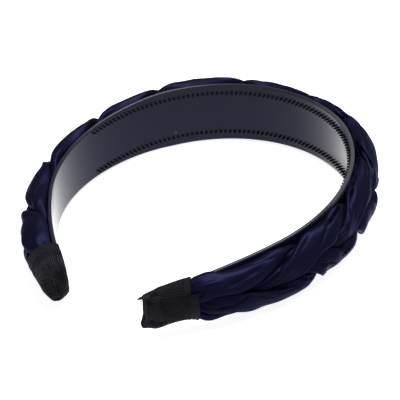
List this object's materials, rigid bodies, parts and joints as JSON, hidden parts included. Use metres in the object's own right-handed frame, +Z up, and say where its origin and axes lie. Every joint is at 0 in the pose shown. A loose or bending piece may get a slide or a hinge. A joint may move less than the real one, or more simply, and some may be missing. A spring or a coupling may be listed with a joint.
{
  "type": "braided satin headband",
  "caption": "Hard plastic hair band with comb teeth, covered outside by a braid of padded satin, its tips wrapped in ribbed ribbon.",
  "frame": {"origin": "middle of the box's foot, on the surface that the headband lies on", "axes": "+Z up, across the band's width, as it lies on its edge; +Y from the open ends of the legs towards the crown; +X to the right"},
  "size_m": [0.1526, 0.1674, 0.032],
  "materials": {
    "band_plastic": "glossy moulded black plastic",
    "satin": "navy satin, smooth with a soft sheen",
    "ribbon": "black ribbed grosgrain, matt"
  },
  "bodies": {
    "root": {"band": "band_plastic", "strand_1": "satin", "strand_2": "satin", "strand_3": "satin", "cap_left": "ribbon", "cap_right": "ribbon"}
  },
  "joints": []
}
